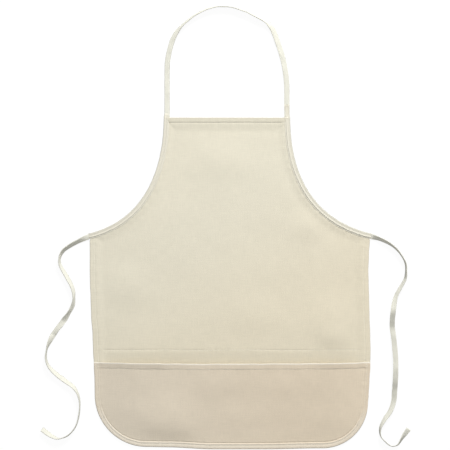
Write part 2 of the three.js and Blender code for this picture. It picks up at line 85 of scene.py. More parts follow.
right_tie_route = [
    (0.3, -6.5, 0, 0.8), (12, -9.5, 36, 0.3), (29, -16, 56, 0), (45, -25, 72, 0),
    (58, -36, 78, 0), (69, -51, 82, 0), (76, -66, 82, 0), (77, -82, 78, 0),
    (75, -98, 68, 0), (66, -115, 60, 0), (56, -133, 48, 0), (51.5, -149, 34, 5),
    (48.8, -166, 24, 9), (47.2, -184, 18, 5), (47.4, -203, 18, 0), (49.8, -222, 20, 2),
    (52.2, -247, 20, 5), (53.8, -272, 20, 8), (53.7, -296, 18, 10.5), (53, -319, 16, 8.5),
    (52, -341, 16, 2.5), (50.5, -362, 20, 0), (43.3, -383, 34, 0), (30.3, -402, 50, 0),
    (21, -421, 78, 0), (22, -437, 84, 0), (32.5, -450, 84, 0), (45, -459, 82, 0),
    (57.5, -457, 76, 0), (68.5, -441.5, 52, 0), (75, -432.5, 30, 0), (83, -422, 15, 0),
]

# Half of the folded tape's section, from the fold to the open edge, in millimetres: across the
# tape and out of its middle. The row of stitches draws the layers in at the groove.
tape_profile = [
    (-5.65, 0.0), (-5.6, 0.42), (-5.3, 0.78), (-4.7, 0.96), (-3.4, 0.92), (-1.6, 0.84),
    (0.4, 0.82), (2.3, 0.86), (3.2, 0.84), (3.65, 0.62), (4.0, 0.46), (4.35, 0.62),
    (4.8, 0.88), (5.3, 0.84), (5.6, 0.6), (5.65, 0.3), (5.3, 0.0),
]
groove_row = 10


def smooth_line(rows, step):
    """Places about one step apart on a smooth curve through the rows, whose first two columns
    are the place; the other columns follow along."""
    rows = np.array(rows, float)
    rows = np.vstack([2 * rows[0] - rows[1], rows, 2 * rows[-1] - rows[-2]])
    places = []
    for i in range(1, len(rows) - 2):
        p0, p1, p2, p3 = rows[i - 1:i + 3]
        t0, t1, t2 = [math.dist(a[:2], b[:2]) ** 0.5 for a, b in ((p0, p1), (p1, p2), (p2, p3))]
        leave = ((p1 - p0) / t0 - (p2 - p0) / (t0 + t1) + (p2 - p1) / t1) * t1
        arrive = ((p2 - p1) / t1 - (p3 - p1) / (t1 + t2) + (p3 - p2) / t2) * t1
        count = max(1, round(math.dist(p1[:2], p2[:2]) / step))
        for s in np.arange(count) / count:
            s2, s3 = s * s, s * s * s
            places.append((2 * s3 - 3 * s2 + 1) * p1 + (s3 - 2 * s2 + s) * leave
                          + (3 * s2 - 2 * s3) * p2 + (s3 - s2) * arrive)
    places.append(rows[-2])
    return np.array(places)


def run_length(places):
    """Length along the places, at each of them."""
    steps = np.linalg.norm(np.diff(places, axis=0), axis=1)
    return np.concatenate([[0.0], np.cumsum(steps)])


def ripple(at, spans, seed):
    """Uneven wave from -1 to 1 along a length, made of a few wavelengths."""
    total = sum(np.sin(2 * math.pi * at / span + seed * (i + 1.7)) for i, span in enumerate(spans))
    return total / len(spans)


def lay_tape(line, set_off, seed, groove_side=1):
    """Points of a tape's sections along a line with columns x, y, tilt and lift, in metres and
    degrees, and the run and the face of each of its two stitched grooves."""
    places = line[:, :2]
    ahead = np.gradient(places, axis=0)
    ahead[0] = set_off
    ahead /= np.linalg.norm(ahead, axis=1)[:, None]
    at = run_length(places)
    free = np.clip(np.minimum(at, at[-1] - at) / 0.03, 0, 1)
    tilt = np.radians(line[:, 2] + 4 * free * ripple(at, (0.031, 0.052, 0.083), seed))
    left = np.column_stack([-ahead[:, 1], ahead[:, 0], np.zeros(len(at))])
    up = np.array([0.0, 0.0, 1.0])
    across = left * np.cos(tilt)[:, None] + up * np.sin(tilt)[:, None]
    face = up * np.cos(tilt)[:, None] - left * np.sin(tilt)[:, None]
    half = np.array(tape_profile) / 1000
    half[:, 0] *= groove_side
    ring = np.vstack([half, half[-2:0:-1] * (1, -1)])
    cup = 0.00035 * free * ripple(at, (0.024, 0.043, 0.071), seed + 3)
    bend = 1 - (ring[:, 0] / (tape_width / 2)) ** 2
    out = ring[:, 1] + cup[:, None] * (bend - 0.5)
    wide = ring[:, 0] * (1 + 0.02 * ripple(at, (0.019, 0.047), seed + 5))[:, None]
    points = across[:, None] * wide[..., None] + face[:, None] * out[..., None]
    lift = np.maximum(line[:, 3], 0) - points[:, :, 2].min(axis=1)
    centre = np.column_stack([places, lift])
    points += centre[:, None]
    grooves = [(points[:, groove_row], face), (points[:, len(ring) - groove_row], -face)]
    return points, centre, grooves


def loft(sections):
    """Points and faces of a closed tube through the sections, with flat ends."""
    count, size = sections.shape[:2]
    faces = []
    for s in range(count - 1):
        for i in range(size):
            a, b = s * size + i, s * size + (i + 1) % size
            faces.append((a, b, b + size, a + size))
    faces.append(tuple(range(size))[::-1])
    faces.append(tuple(range((count - 1) * size, count * size)))
    return sections.reshape(-1, 3), faces


def stitch_beads(track, out, pitch=0.0032, length=0.0026, thick=0.0005, start=0.0012, stop=0.0012):
    """Sewing thread showing along a track: short beads, their ends sunk into the cloth."""
    at = run_length(track)
    count = max(1, int((at[-1] - start - stop) / pitch))
    shares = np.array([0, 0.16, 0.5, 0.84, 1.0])
    fat = thick / 2 * np.array([0.35, 0.85, 1.0, 0.85, 0.35])
    rise = thick * np.array([-0.45, 0.05, 0.25, 0.05, -0.45])
    rings, sides = len(shares), 6
    where = start + pitch * np.arange(count)[:, None] + shares * length

    def follow(rows):
        return np.stack([np.interp(where, at, rows[:, k]) for k in range(3)], axis=-1)

    middle, outward = follow(track), follow(out)
    along = follow(np.gradient(track, axis=0))
    along /= np.linalg.norm(along, axis=-1, keepdims=True)
    side = np.cross(outward, along)
    turn = 2 * math.pi / sides * np.arange(sides)
    middle = middle + outward * rise[:, None]
    ring = (side[..., None, :] * np.cos(turn)[:, None] + outward[..., None, :] * np.sin(turn)[:, None])
    points = middle[..., None, :] + ring * fat[:, None, None]
    faces = []
    for bead in range(count):
        base = bead * rings * sides
        for s in range(rings - 1):
            for i in range(sides):
                a, b = base + s * sides + i, base + s * sides + (i + 1) % sides
                faces.append((a, b, b + sides, a + sides))
        faces.append(tuple(base + i for i in reversed(range(sides))))
        faces.append(tuple(base + (rings - 1) * sides + i for i in range(sides)))
    return points.reshape(-1, 3), faces


def joined(parts):
    """Several lots of points and faces as one."""
    points, faces, base = [], [], 0
    for some_points, some_faces in parts:
        points.append(some_points)
        faces += [tuple(base + v for v in face) for face in some_faces]
        base += len(some_points)
    return np.vstack(points), faces


def make_piece(name, points, faces, finish, slot, weave=None, painted_shade_and_highlight=None, aged=None):
    """A mesh object on the apron's one body. weave: where each point lies on the cloth, in
    metres. The last two: share of painted shade and highlight colour, and of yellowing, at each point."""
    mesh = bpy.data.meshes.new(name)
    mesh.from_pydata(points.tolist(), [], faces)
    shell = bmesh.new()
    shell.from_mesh(mesh)
    bmesh.ops.recalc_face_normals(shell, faces=shell.faces)
    shell.to_mesh(mesh)
    shell.free()
    mesh.polygons.foreach_set("use_smooth", [True] * len(mesh.polygons))
    corners = np.empty(len(mesh.loops), int)
    mesh.loops.foreach_get("vertex_index", corners)
    flat = points[:, :2] if weave is None else weave
    mesh.uv_layers.new(name="weave").data.foreach_set("uv", flat[corners].ravel())
    for kind, share in (("painted_shade_and_highlight", painted_shade_and_highlight), ("aged", aged)):
        if share is not None:
            mesh.attributes.new(kind, "FLOAT", "POINT").data.foreach_set("value", share)
    mesh.materials.append(finish)
    mesh.update()
    piece = bpy.data.objects.new(name, mesh)
    scene.collection.objects.link(piece)
    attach(piece, "root")
    return piece


def woven(name, colour, thread, relief, slub, painted_light_and_shade):
    """Plain weave: threads of one width over and under each other, thicker yarns here and there,
    slow changes of tone, and yellow age and a painted shade and highlight colour where the piece
    says so. relief is the height of the weave, slub the share of it that the thicker yarns add."""
    finish = bpy.data.materials.new(name)
    finish.use_nodes = True
    nodes, links = finish.node_tree.nodes, finish.node_tree.links
    shader = nodes["Principled BSDF"]
    shader.inputs["Roughness"].default_value = 0.92
    shader.inputs["Specular IOR Level"].default_value = 0.18
    shader.inputs["Sheen Weight"].default_value = 0.12
    shader.inputs["Sheen Roughness"].default_value = 0.6

    def node(kind, **settings):
        made = nodes.new(kind)
        for key, value in settings.items():
            setattr(made, key, value)
        return made

    def maths(operation, *values):
        made = node("ShaderNodeMath", operation=operation)
        for socket, value in zip(made.inputs, values):
            if isinstance(value, (int, float)):
                socket.default_value = value
            else:
                links.new(value, socket)
        return made.outputs[0]

    place = node("ShaderNodeUVMap", uv_map="weave").outputs[0]
    split = node("ShaderNodeSeparateXYZ")
    links.new(place, split.inputs[0])
    warp = maths("SINE", maths("MULTIPLY", split.outputs[0], math.pi / thread))
    weft = maths("SINE", maths("MULTIPLY", split.outputs[1], math.pi / thread))
    crossing = maths("ABSOLUTE", maths("MULTIPLY", warp, weft))

    def cloudy(scale_across, scale_along, detail):
        stretch = node("ShaderNodeMapping")
        stretch.inputs["Scale"].default_value = (scale_across, scale_along, 1)
        links.new(place, stretch.inputs[0])
        clouds = node("ShaderNodeTexNoise")
        clouds.inputs["Scale"].default_value = 1.0
        clouds.inputs["Detail"].default_value = detail
        links.new(stretch.outputs[0], clouds.inputs["Vector"])
        return clouds.outputs["Fac"]

    yarn_up = cloudy(0.55 / thread, 45, 1.0)
    yarn_across = cloudy(45, 0.55 / thread, 1.0)
    yarns = maths("ADD", yarn_up, yarn_across)
    height = maths("ADD", crossing, maths("MULTIPLY", yarns, slub))
    bump = node("ShaderNodeBump")
    bump.inputs["Strength"].default_value = 1.0
    bump.inputs["Distance"].default_value = relief
    links.new(height, bump.inputs["Height"])
    links.new(bump.outputs[0], shader.inputs["Normal"])

    # Painted shade of the weave: the colour is darker in the low spots between thread crossings. The
    # thicker yarns and the two slow clouds vary the tone at random.
    tone = maths("ADD", maths("MULTIPLY", crossing, 0.05), maths("MULTIPLY", yarns, 0.09))
    tone = maths("ADD", tone, maths("MULTIPLY", cloudy(7, 7, 2.0), 0.05))
    tone = maths("ADD", tone, maths("MULTIPLY", cloudy(60, 60, 3.0), 0.05))
    tone = maths("ADD", tone, 0.84)
    yellowed = node("ShaderNodeMixRGB")
    yellowed.inputs["Color1"].default_value = (*colour, 1)
    yellowed.inputs["Color2"].default_value = (colour[0], colour[1] * 0.967, colour[2] * 0.926, 1)
    links.new(node("ShaderNodeAttribute", attribute_name="aged").outputs["Fac"], yellowed.inputs["Fac"])
    # Mixed towards the painted colour by each point's share: painted shade on rolled edges, painted
    # highlight on the pocket's lip and hem.
    with_painted_light = node("ShaderNodeMixRGB")
    links.new(yellowed.outputs[0], with_painted_light.inputs["Color1"])
    with_painted_light.inputs["Color2"].default_value = (*painted_light_and_shade, 1)
    links.new(node("ShaderNodeAttribute", attribute_name="painted_shade_and_highlight").outputs["Fac"], with_painted_light.inputs["Fac"])
    shade = node("ShaderNodeVectorMath", operation="SCALE")
    links.new(with_painted_light.outputs[0], shade.inputs[0])
    links.new(tone, shade.inputs["Scale"])
    links.new(shade.outputs[0], shader.inputs["Base Color"])
    return finish


tape_finish = woven("tape_cotton", tape_white, tape_thread, tape_relief, 0.5, tape_edge_shade)
thread_white = (0.84, 0.82, 0.73)
# Painted shade colour of the thread's finish; the stitches give it no share.
thread_shade = (0.68, 0.66, 0.59)
thread_finish = woven("sewing_thread", thread_white, 0.00022, 0.00003, 0.2, thread_shade)


def make_tape(name, line, set_off, seed, groove_side):
    """The tape and its two rows of stitches as separate pieces."""
    points, centre, grooves = lay_tape(line, set_off, seed, groove_side)
    girth = np.array([w for w, _ in tape_profile] + [w for w, _ in tape_profile[-2:0:-1]]) / 1000
    at = run_length(centre)
    weave = np.stack(np.broadcast_arrays(girth[None, :], at[:, None]), axis=-1).reshape(-1, 2)
    # Painted shade: both rolled edges of the tape are drawn halfway to the darker edge colour.
    edge = np.clip((np.abs(girth) - 0.0047) / 0.0008, 0, 1) * 0.5
    painted_shade_and_highlight = np.broadcast_to(edge, (len(at), len(girth))).ravel()
    tape = make_piece(name, *loft(points), tape_finish, "tape", weave, painted_shade_and_highlight)
    rows = [stitch_beads(track, out, start=0.003, stop=0.004) for track, out in grooves]
    stitches = make_piece(name + "_stitches", *joined(rows), thread_finish, "tape")
    return tape, stitches, centre


for name, side, route in (("left_tie", -1, left_tie_route), ("right_tie", 1, right_tie_route)):
    rows = [(side * (half_skirt + out / 1000), up / 1000, tilt, lift / 1000)
            for out, up, tilt, lift in route]
    line = smooth_line(rows, tape_step)
    tape, stitches, centre = make_tape(name + "_tape", line, (side, 0), 1 + side, -side)
    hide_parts(name)

# Body
# Bib and skirt are one cut of cream cotton duck. The bib's top, both sides and the bottom are
# turned twice to the back and topstitched; the armholes are raw under their tape.
skirt_length = 0.466
bib_width = 0.273
bib_height = 0.25
bib_lean = 0.0065
lean_power = 4
armhole_drop = 0.086
armhole_reach = 0.146
armhole_slope = math.radians(14)
corner_radius = {-1: 0.112, 1: 0.098}
corner_rise = {-1: 0.005, 1: 0.002}
side_draw = 0.011
cloth_thick = 0.0009
hem_thick = 0.0023
tape_fold = 0.0013
body_cream = (0.79, 0.745, 0.605)
# Darker colour painted on the body's rolled edge as its shade.
body_edge_shade = (0.64, 0.6, 0.51)
body_thread = 0.0011
duck_relief = 0.00013

# How far the edges wander inwards on the way down, in shares of side_draw: share of the skirt's
# length, left edge, right edge.
side_wander = [
    (0.0, 0.0, 0.0), (0.1, 0.03, 0.26), (0.17, 0.02, 0.38), (0.23, 0.06, 0.32), (0.3, 0.19, 0.23),
    (0.38, 0.29, 0.16), (0.47, 0.57, 0.02), (0.54, 0.67, -0.05), (0.62, 0.86, 0.02),
    (0.68, 0.98, 0.19), (0.75, 1.02, 0.35), (0.79, 1.02, 0.49),
]

# How far the bottom edge rises on its way to each corner: share across, rise.
bottom_bow = [(-0.59, 0.005), (-0.46, 0.0042), (-0.12, 0.0), (0.25, 0.0), (0.65, 0.002)]

# Swells of the lying cloth: across and up in millimetres, half-spreads in millimetres, height.
swells = [
    (-12, 154, 97, 70, 1.9), (219, -191, 73, 70, 2.1), (-219, -116, 79, 70, 1.7),
    (49, -177, 85, 61, 1.3), (164, 14, 61, 47, 1.7), (226, -224, 52, 36, 1.5),
]


def eased(table, column, at):
    """A column of a table at places along its first column, eased between the rows."""
    keys = [row[0] for row in table]
    values = [row[column] for row in table]
    spot = np.clip(np.searchsorted(keys, at, side="right") - 1, 0, len(keys) - 2)
    k0, k1 = np.take(keys, spot), np.take(keys, spot + 1)
    share = np.clip((at - k0) / (k1 - k0), 0, 1)
    share = share * share * (3 - 2 * share)
    return np.take(values, spot) * (1 - share) + np.take(values, spot + 1) * share


def ramp(at, start, end):
    """0 before start, 1 past end, smooth between."""
    share = np.clip((at - start) / (end - start), 0, 1)
    return share * share * (3 - 2 * share)


def narrow(offset, width):
    """1 at no offset, dying away to both sides within about the width."""
    return np.exp(-(offset / width) ** 2)


def rolled(distance, radius):
    """Share of its full thickness that a rolled edge has at a distance from the edge."""
    return np.sqrt(1 - (1 - np.clip(distance / radius, 0, 1)) ** 2)


def run_apart(places, step):
    """The same line with its places one step apart."""
    at = run_length(places)
    to = np.linspace(0, at[-1], max(2, int(round(at[-1] / step)) + 1))
    return np.column_stack([np.interp(to, at, column) for column in places.T])


def armhole(side, step):
    """Places down one armhole, from the bib's corner to the waist corner."""
    t = np.linspace(0, 1, 400)[:, None]
    handles = [
        np.array((bib_width / 2, bib_height)),
        np.array((bib_width / 2, bib_height - armhole_drop)),
        np.array((half_skirt - armhole_reach * math.cos(armhole_slope),
                  armhole_reach * math.sin(armhole_slope))),
        np.array((half_skirt, 0.0)),
    ]
    curve = ((1 - t) ** 3 * handles[0] + 3 * (1 - t) ** 2 * t * handles[1]
             + 3 * (1 - t) * t ** 2 * handles[2] + t ** 3 * handles[3])
    curve[:, 0] = side * curve[:, 0] - bib_lean * (1 - (1 - curve[:, 1] / bib_height) ** lean_power)
    return run_apart(curve, step)


def side_line(side, top, bottom, step):
    """Places down one side's edge."""
    y = np.linspace(top, bottom, max(2, int(round((top - bottom) / step)) + 1))
    wander = eased(side_wander, 1 if side < 0 else 2, -y / skirt_length)
    return np.column_stack([side * (half_skirt - side_draw * wander), y])


def lower_corner(side, step):
    """Places from the side's edge round to the bottom edge."""
    radius = corner_radius[side]
    start = side_line(side, radius + corner_rise[side] - skirt_length, -skirt_length, 1)[0]
    turn = np.linspace(0, math.pi / 2, int(radius * math.pi / 2 / step))
    return np.column_stack([start[0] - side * radius * (1 - np.cos(turn)),
                            start[1] - radius * np.sin(turn)])


def lower_edge(top, step):
    """The hemmed edge below a height, down the left, along the bottom and up the right."""
    down = [side_line(s, top, corner_radius[s] + corner_rise[s] - skirt_length, step) for s in (-1, 1)]
    round_it = [lower_corner(s, step) for s in (-1, 1)]
    bottom = run_apart(np.array([round_it[0][-1], round_it[1][-1]]), step)
    bottom[:, 1] = eased(bottom_bow, 1, bottom[:, 0] / half_skirt) - skirt_length
    return np.vstack([down[0][:-1], round_it[0], bottom[1:-1], round_it[1][::-1], down[1][::-1][1:]])


def left_of(line):
    """Unit ways to the left of a line's own direction, at each of its places."""
    way = np.gradient(line, axis=0)
    way /= np.linalg.norm(way, axis=1)[:, None]
    return np.column_stack([-way[:, 1], way[:, 0]])


def moved_left(line, distance):
    """The line moved to the left of its own direction."""
    return line + distance * left_of(line)


def nearest(line, places, closed=True):
    """Distance from each place to a line, and where along the line's points the nearest spot is."""
    start = line if closed else line[:-1]
    span = (np.roll(line, -1, axis=0) if closed else line[1:]) - start
    square = (span ** 2).sum(axis=1)
    distance, spot = np.empty(len(places)), np.empty(len(places))
    for first in range(0, len(places), 1500):
        some = places[first:first + 1500]
        from_x = some[:, :1] - start[:, 0]
        from_y = some[:, 1:] - start[:, 1]
        share = np.clip((from_x * span[:, 0] + from_y * span[:, 1]) / square, 0, 1)
        gap = (from_x - share * span[:, 0]) ** 2 + (from_y - share * span[:, 1]) ** 2
        best = gap.argmin(axis=1)
        row = np.arange(len(some))
        distance[first:first + 1500] = np.sqrt(gap[row, best])
        spot[first:first + 1500] = best + share[row, best]
    return distance, spot


def inside(edge, places):
    """Whether each place lies inside a closed edge."""
    after = np.roll(edge, -1, axis=0)
    crossings = np.zeros(len(places), int)
    for (x0, y0), (x1, y1) in zip(edge, after):
        if y0 == y1:
            continue
        level = (places[:, 1] > min(y0, y1)) & (places[:, 1] <= max(y0, y1))
        crossings += level & (places[:, 0] < x0 + (places[:, 1] - y0) * (x1 - x0) / (y1 - y0))
    return crossings % 2 == 1


def cut_cloth(edge, rings, pitch, lines=()):
    """Flat net of triangles inside an anticlockwise edge: rows of points at each ring's distances
    from the edge, rows along the given lines, and even points between."""
    way = np.roll(edge, -1, axis=0) - np.roll(edge, 1, axis=0)
    way /= np.linalg.norm(way, axis=1)[:, None]
    inward = np.column_stack([-way[:, 1], way[:, 0]])
    count = len(edge)
    points, seams = [edge], [(i, (i + 1) % count) for i in range(count)]
    base = count
    for ring in rings:
        row = edge + inward * ring[:, None]
        kept = nearest(edge, row)[0] > ring - 0.0001
        number = base + np.cumsum(kept) - 1
        seams += [(number[i], number[(i + 1) % count]) for i in range(count)
                  if kept[i] and kept[(i + 1) % count]]
        points.append(row[kept])
        base += kept.sum()
    low, high = edge.min(axis=0), edge.max(axis=0)
    across = np.arange(low[0], high[0], pitch)
    up = np.arange(low[1], high[1], pitch * 0.866)
    even = np.array([(x + pitch / 2 * (j % 2), y) for j, y in enumerate(up) for x in across])
    distance, spot = nearest(edge, even)
    even = even[inside(edge, even) & (distance > rings[-1][spot.astype(int) % count] + pitch * 0.5)]
    for line in lines:
        even = even[nearest(line, even, closed=False)[0] > pitch * 0.45]
        points.append(line)
    points.append(even)
    net = delaunay_2d_cdt(np.vstack(points).tolist(), seams, [], 1, 1e-7)
    return np.array([tuple(v) for v in net[0]]), np.array(net[2])


def sew_sheet(name, edge, places, triangles, face, back, finish, slot, painted_shade_and_highlight, aged):
    """A closed sheet of cloth over a flat net: its face and back meet along the edge."""
    rim = nearest(edge, places)[0] < 1e-6
    middle = (face + back) / 2
    top = np.column_stack([places, np.where(rim, middle, face)])
    below = np.column_stack([places, back])[~rim]
    under = np.where(rim, np.arange(len(places)), len(places) + np.cumsum(~rim) - 1)
    faces = [tuple(t) for t in triangles.tolist()]
    faces += [tuple(t) for t in under[triangles[:, ::-1]].tolist()]
    painted_light_and_shade, old = [np.concatenate([share, share[~rim]]) for share in (painted_shade_and_highlight, aged)]
    return make_piece(name, np.vstack([top, below]), faces, finish, slot, painted_shade_and_highlight=painted_light_and_shade, aged=old)


edge_step = 0.0036
armholes = [armhole(-1, edge_step), armhole(1, edge_step)]
top_left, top_right = armholes[0][0], armholes[1][0]
jog = np.array([(0.0, -0.0025), (0.0, -0.0058), (0.0, -0.0091), (0.0, -0.0124)])
hem_start = -0.0165
body_edges = [
    moved_left(armholes[0], tape_fold),
    jog + (-half_skirt + tape_fold, 0),
    lower_edge(hem_start, edge_step),
    jog[::-1] + (half_skirt - tape_fold, 0),
    moved_left(armholes[1][::-1], tape_fold),
    run_apart(np.array([top_right, top_left]) + ((-tape_fold, 0), (tape_fold, 0)), edge_step)[1:-1],
]
body_edge = np.vstack(body_edges)
taped = np.concatenate([np.full(len(part), share)
                        for part, share in zip(body_edges, (1.0, 1.0, 0.0, 1.0, 1.0, 0.0))])
body_run = run_length(np.vstack([body_edge, body_edge[:1]]))

# Distance from the edge to the inner fold of the bottom hem: across, distance.
bottom_stitching = [
    (-0.303, 0.0112), (-0.25, 0.011), (-0.19, 0.0116), (-0.09, 0.0125), (0.0, 0.0125),
    (0.09, 0.0128), (0.2, 0.0128), (0.26, 0.0118), (0.303, 0.0112),
]
top_stitching = 0.0108


def stitch_distance(places):
    """How far inside the edge the hem is stitched, next to each place."""
    lower = eased(bottom_stitching, 1, places[:, 0])
    return np.where(places[:, 1] > 0.2, top_stitching, lower)


def ring_distances(stitched):
    """Rows of points from the rolled edge over the stitched groove to the lying cloth."""
    near = [0.0002, 0.0006, 0.0012, 0.0022, 0.0038]
    beside = [-0.0048, -0.004, -0.0032, -0.0018, -0.0012, -0.0006, 0.0, 0.0006, 0.0012, 0.0018,
              0.003, 0.0046, 0.007, 0.0105]
    return [np.full(len(stitched), d) for d in near] + [stitched + d for d in beside]


def swell_at(places, forms):
    """Height of soft swells, given in millimetres, at each place."""
    height = np.zeros(len(places))
    for across, up, spread_across, spread_up, rise in forms:
        u = (places[:, 0] * 1000 - across) / spread_across
        v = (places[:, 1] * 1000 - up) / spread_up
        height += rise / 1000 * np.cos(math.pi / 2 * np.clip(np.hypot(u, v), 0, 1)) ** 2
    return height


def unrest(places, seed):
    """Faint unevenness of cloth that has been folded and smoothed out by hand, from 0 to 1."""
    x, y = places[:, 0], places[:, 1]
    waves = [(0.171, 0.3), (0.118, 1.9), (0.083, 1.2), (0.061, 2.6), (0.047, 0.75), (0.036, 2.2)]
    total = sum(span * np.sin(2 * math.pi * (x * math.cos(turn) + y * math.sin(turn)) / span
                              + seed * (i + 1) + 1.5 * np.sin(9 * x + 3 * i) + 1.2 * np.sin(11 * y - i))
                for i, (span, turn) in enumerate(waves))
    return 0.5 + 0.5 * total / sum(span for span, _ in waves)



def beside_seam(distance, stitched):
    """Where stitches draw the cloth together: strongest just inside them."""
    return narrow(distance - stitched - 0.001, 0.0075)


# Row of stitches straight across the body, above the pocket: its level on the sheet, and how deep
# it draws the cloth in: across, share.
line_level = -0.252
line_strength = [
    (-0.29, 0.5), (-0.272, 1.0), (-0.16, 1.0), (-0.14, 0.35), (-0.115, 0.9), (-0.06, 0.9), (-0.045, 0.3),
    (0.04, 0.3), (0.06, 0.9), (0.165, 0.9), (0.18, 0.4), (0.29, 0.6),
]


def line_at(x):
    """Height on the sheet of the row of stitches across the body."""
    return line_level + 0.0004 * np.sin(x * 31)


def body_heights(places):
    """Face and back of the body's cloth at each place."""
    distance, spot = nearest(body_edge, places)
    count = len(body_edge)
    whole = spot.astype(int)
    share = spot - whole
    bound = taped[whole % count] * (1 - share) + taped[(whole + 1) % count] * share
    run = np.interp(spot, np.arange(count + 1), body_run)
    stitched = stitch_distance(body_edge[whole % count])
    inner = stitched + 0.0022
    hung = ramp(places[:, 1], 0.235, 0.245)  # 1 along the bib's top hem
    let_down = inner + 0.018 + 0.04 * hung
    up_hem = (hem_thick - cloth_thick) * (1 - ramp(distance, inner - 0.0004, let_down))
    up_tape = tape_fold * (1 - ramp(distance, 0.0112, 0.027))
    up = up_hem * (1 - bound) + up_tape * bound
    pucker = 0.00032 * ripple(run, (0.0087, 0.0135, 0.0212), 2)
    pucker *= beside_seam(distance, stitched)
    soft = swell_at(places, swells) + 0.0007 * unrest(places, 1.3) * ramp(distance, 0.012, 0.05)
    above_mouth = ramp(places[:, 1], -0.28, -0.25) * (1 - ramp(places[:, 1], -0.25, -0.1))
    soft += 0.0009 * above_mouth * ramp(distance, 0.012, 0.04)
    from_line = places[:, 1] - line_at(places[:, 0])
    on_line = narrow(from_line, 0.0007) * eased(line_strength, 1, places[:, 0])
    seam = 0.00022 * narrow(from_line, 0.006) * ripple(places[:, 0], (0.0092, 0.0141, 0.0237), 5)
    face = cloth_thick + up + soft + pucker + seam
    back = np.where((distance < inner) & (bound < 0.5), 0.0, face - cloth_thick)
    in_tape = np.minimum(nearest(armholes[0], places, False)[0], nearest(armholes[1], places, False)[0])
    back = np.maximum(back, np.where(in_tape < 0.0118, 0.0012, 0.0))
    face += 0.0004 * hung * (1 - ramp(distance, 0.0008, 0.0042))
    face += 0.0011 * hung * (1 - bound) * (1 - ramp(distance, stitched - 0.0007, stitched + 0.0007))
    groove = 0.0004 * (1 - bound) * (1 - hung) * narrow(distance - stitched, 0.0008)
    face = face - groove - 0.00035 * on_line
    roll = rolled(distance, 0.0012)
    middle = (face + back) / 2
    return middle + (face - middle) * roll, middle + (back - middle) * roll


body_finish = woven("cream_duck", body_cream, body_thread, duck_relief, 0.5, body_edge_shade)
line_across = np.linspace(-0.272, 0.28, 170)
line_rows = [np.column_stack([line_across, line_at(line_across) + off])
             for off in (-0.0014, -0.0007, 0.0, 0.0007, 0.0014)]
line_track = line_rows[2]
body_rings = ring_distances(stitch_distance(body_edge))
body_net, body_faces = cut_cloth(body_edge, body_rings, 0.0046, line_rows)
body_face, body_back = body_heights(body_net)
from_edge = nearest(body_edge, body_net)[0]
body_aged = ramp(body_net[:, 0] * 0.6 - body_net[:, 1], -0.1, 0.3)
# Painted shade: the outermost rolled edge of the body is drawn halfway to the darker edge colour.
body = sew_sheet("body_cloth", body_edge, body_net, body_faces, body_face, body_back, body_finish,
                 "cloth", 0.5 * (1 - ramp(from_edge, 0.0004, 0.0022)), body_aged)
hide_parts("body_panel")

# Pocket
# One lap pocket across the whole front, of the same duck a little yellower with age. Its mouth is
# turned twice and stitched 12 mm down, and its sides and bottom are caught in the body's hem.
mouth_level = -0.278
pocket_lift = 0.009
mouth_droop = 0.0034
mouth_stitching = 0.012
pocket_overlap = 0.0003
side_stitching = 0.0112  # where the pocket's sides are caught, in from its edge
hem_inset = 0.004  # from the fold of the bottom hem to its stitching
pocket_cream = (0.765, 0.682, 0.55)
highlight_cream = (0.83, 0.79, 0.7)  # painted highlight on the mouth's rolled lip and along the bottom hem
deepest = -skirt_length + 0.0132

# Mouth of the pocket: share across, lift and droop in shares of the greatest.
mouth_form = [
    (-1.0, 0.0, 0.0), (-0.65, 1.0, 0.6), (-0.2, 0.78, 1.0), (0.25, 0.74, 0.85),
    (0.7, 1.0, 0.6), (1.0, 0.0, 0.0),
]

# How far the mouth's turned band falls from its rolled edge to its stitching: across, fall.
mouth_fall = [
    (-0.27, 0.0013), (-0.15, 0.0016), (-0.11, 0.0003), (0.17, 0.0001), (0.21, 0.0011), (0.28, 0.001),
]

# Swells of the pocket, as those of the body: across, up, half-spreads, height.
pocket_swells = [
    (-135, -412, 100, 84, 4.6), (-235, -372, 50, 60, 0.9), (200, -398, 70, 42, 0.6),
    (40, -360, 90, 45, -0.9), (110, -330, 50, 40, 0.7), (-40, -330, 60, 40, 0.6),
]

# How hard the mouth's stitching pulls the cloth in: across, share.
mouth_pull = [
    (-0.29, 0.4), (-0.21, 0.45), (-0.19, 1.0), (-0.145, 1.0), (-0.12, 0.4), (-0.02, 0.35), (0.0, 0.9),
    (0.035, 0.9), (0.06, 0.35), (0.19, 0.35), (0.21, 1.0), (0.275, 1.0), (0.29, 0.4),
]


def mouth_at(x):
    """Height on the sheet of the pocket's drooping mouth."""
    sag = mouth_droop * eased(mouth_form, 2, x / half_skirt)
    return mouth_level - sag + 0.0005 * ripple(x, (0.041, 0.067, 0.11), 4)


pocket_rim = moved_left(lower_edge(mouth_level, edge_step), -pocket_overlap)
mouth_across = np.linspace(pocket_rim[-1, 0], pocket_rim[0, 0], 170)[1:-1]
mouth_edge = np.column_stack([mouth_across, mouth_at(mouth_across)])
pocket_edge = np.vstack([pocket_rim, mouth_edge])
pocket_run = run_length(pocket_rim)


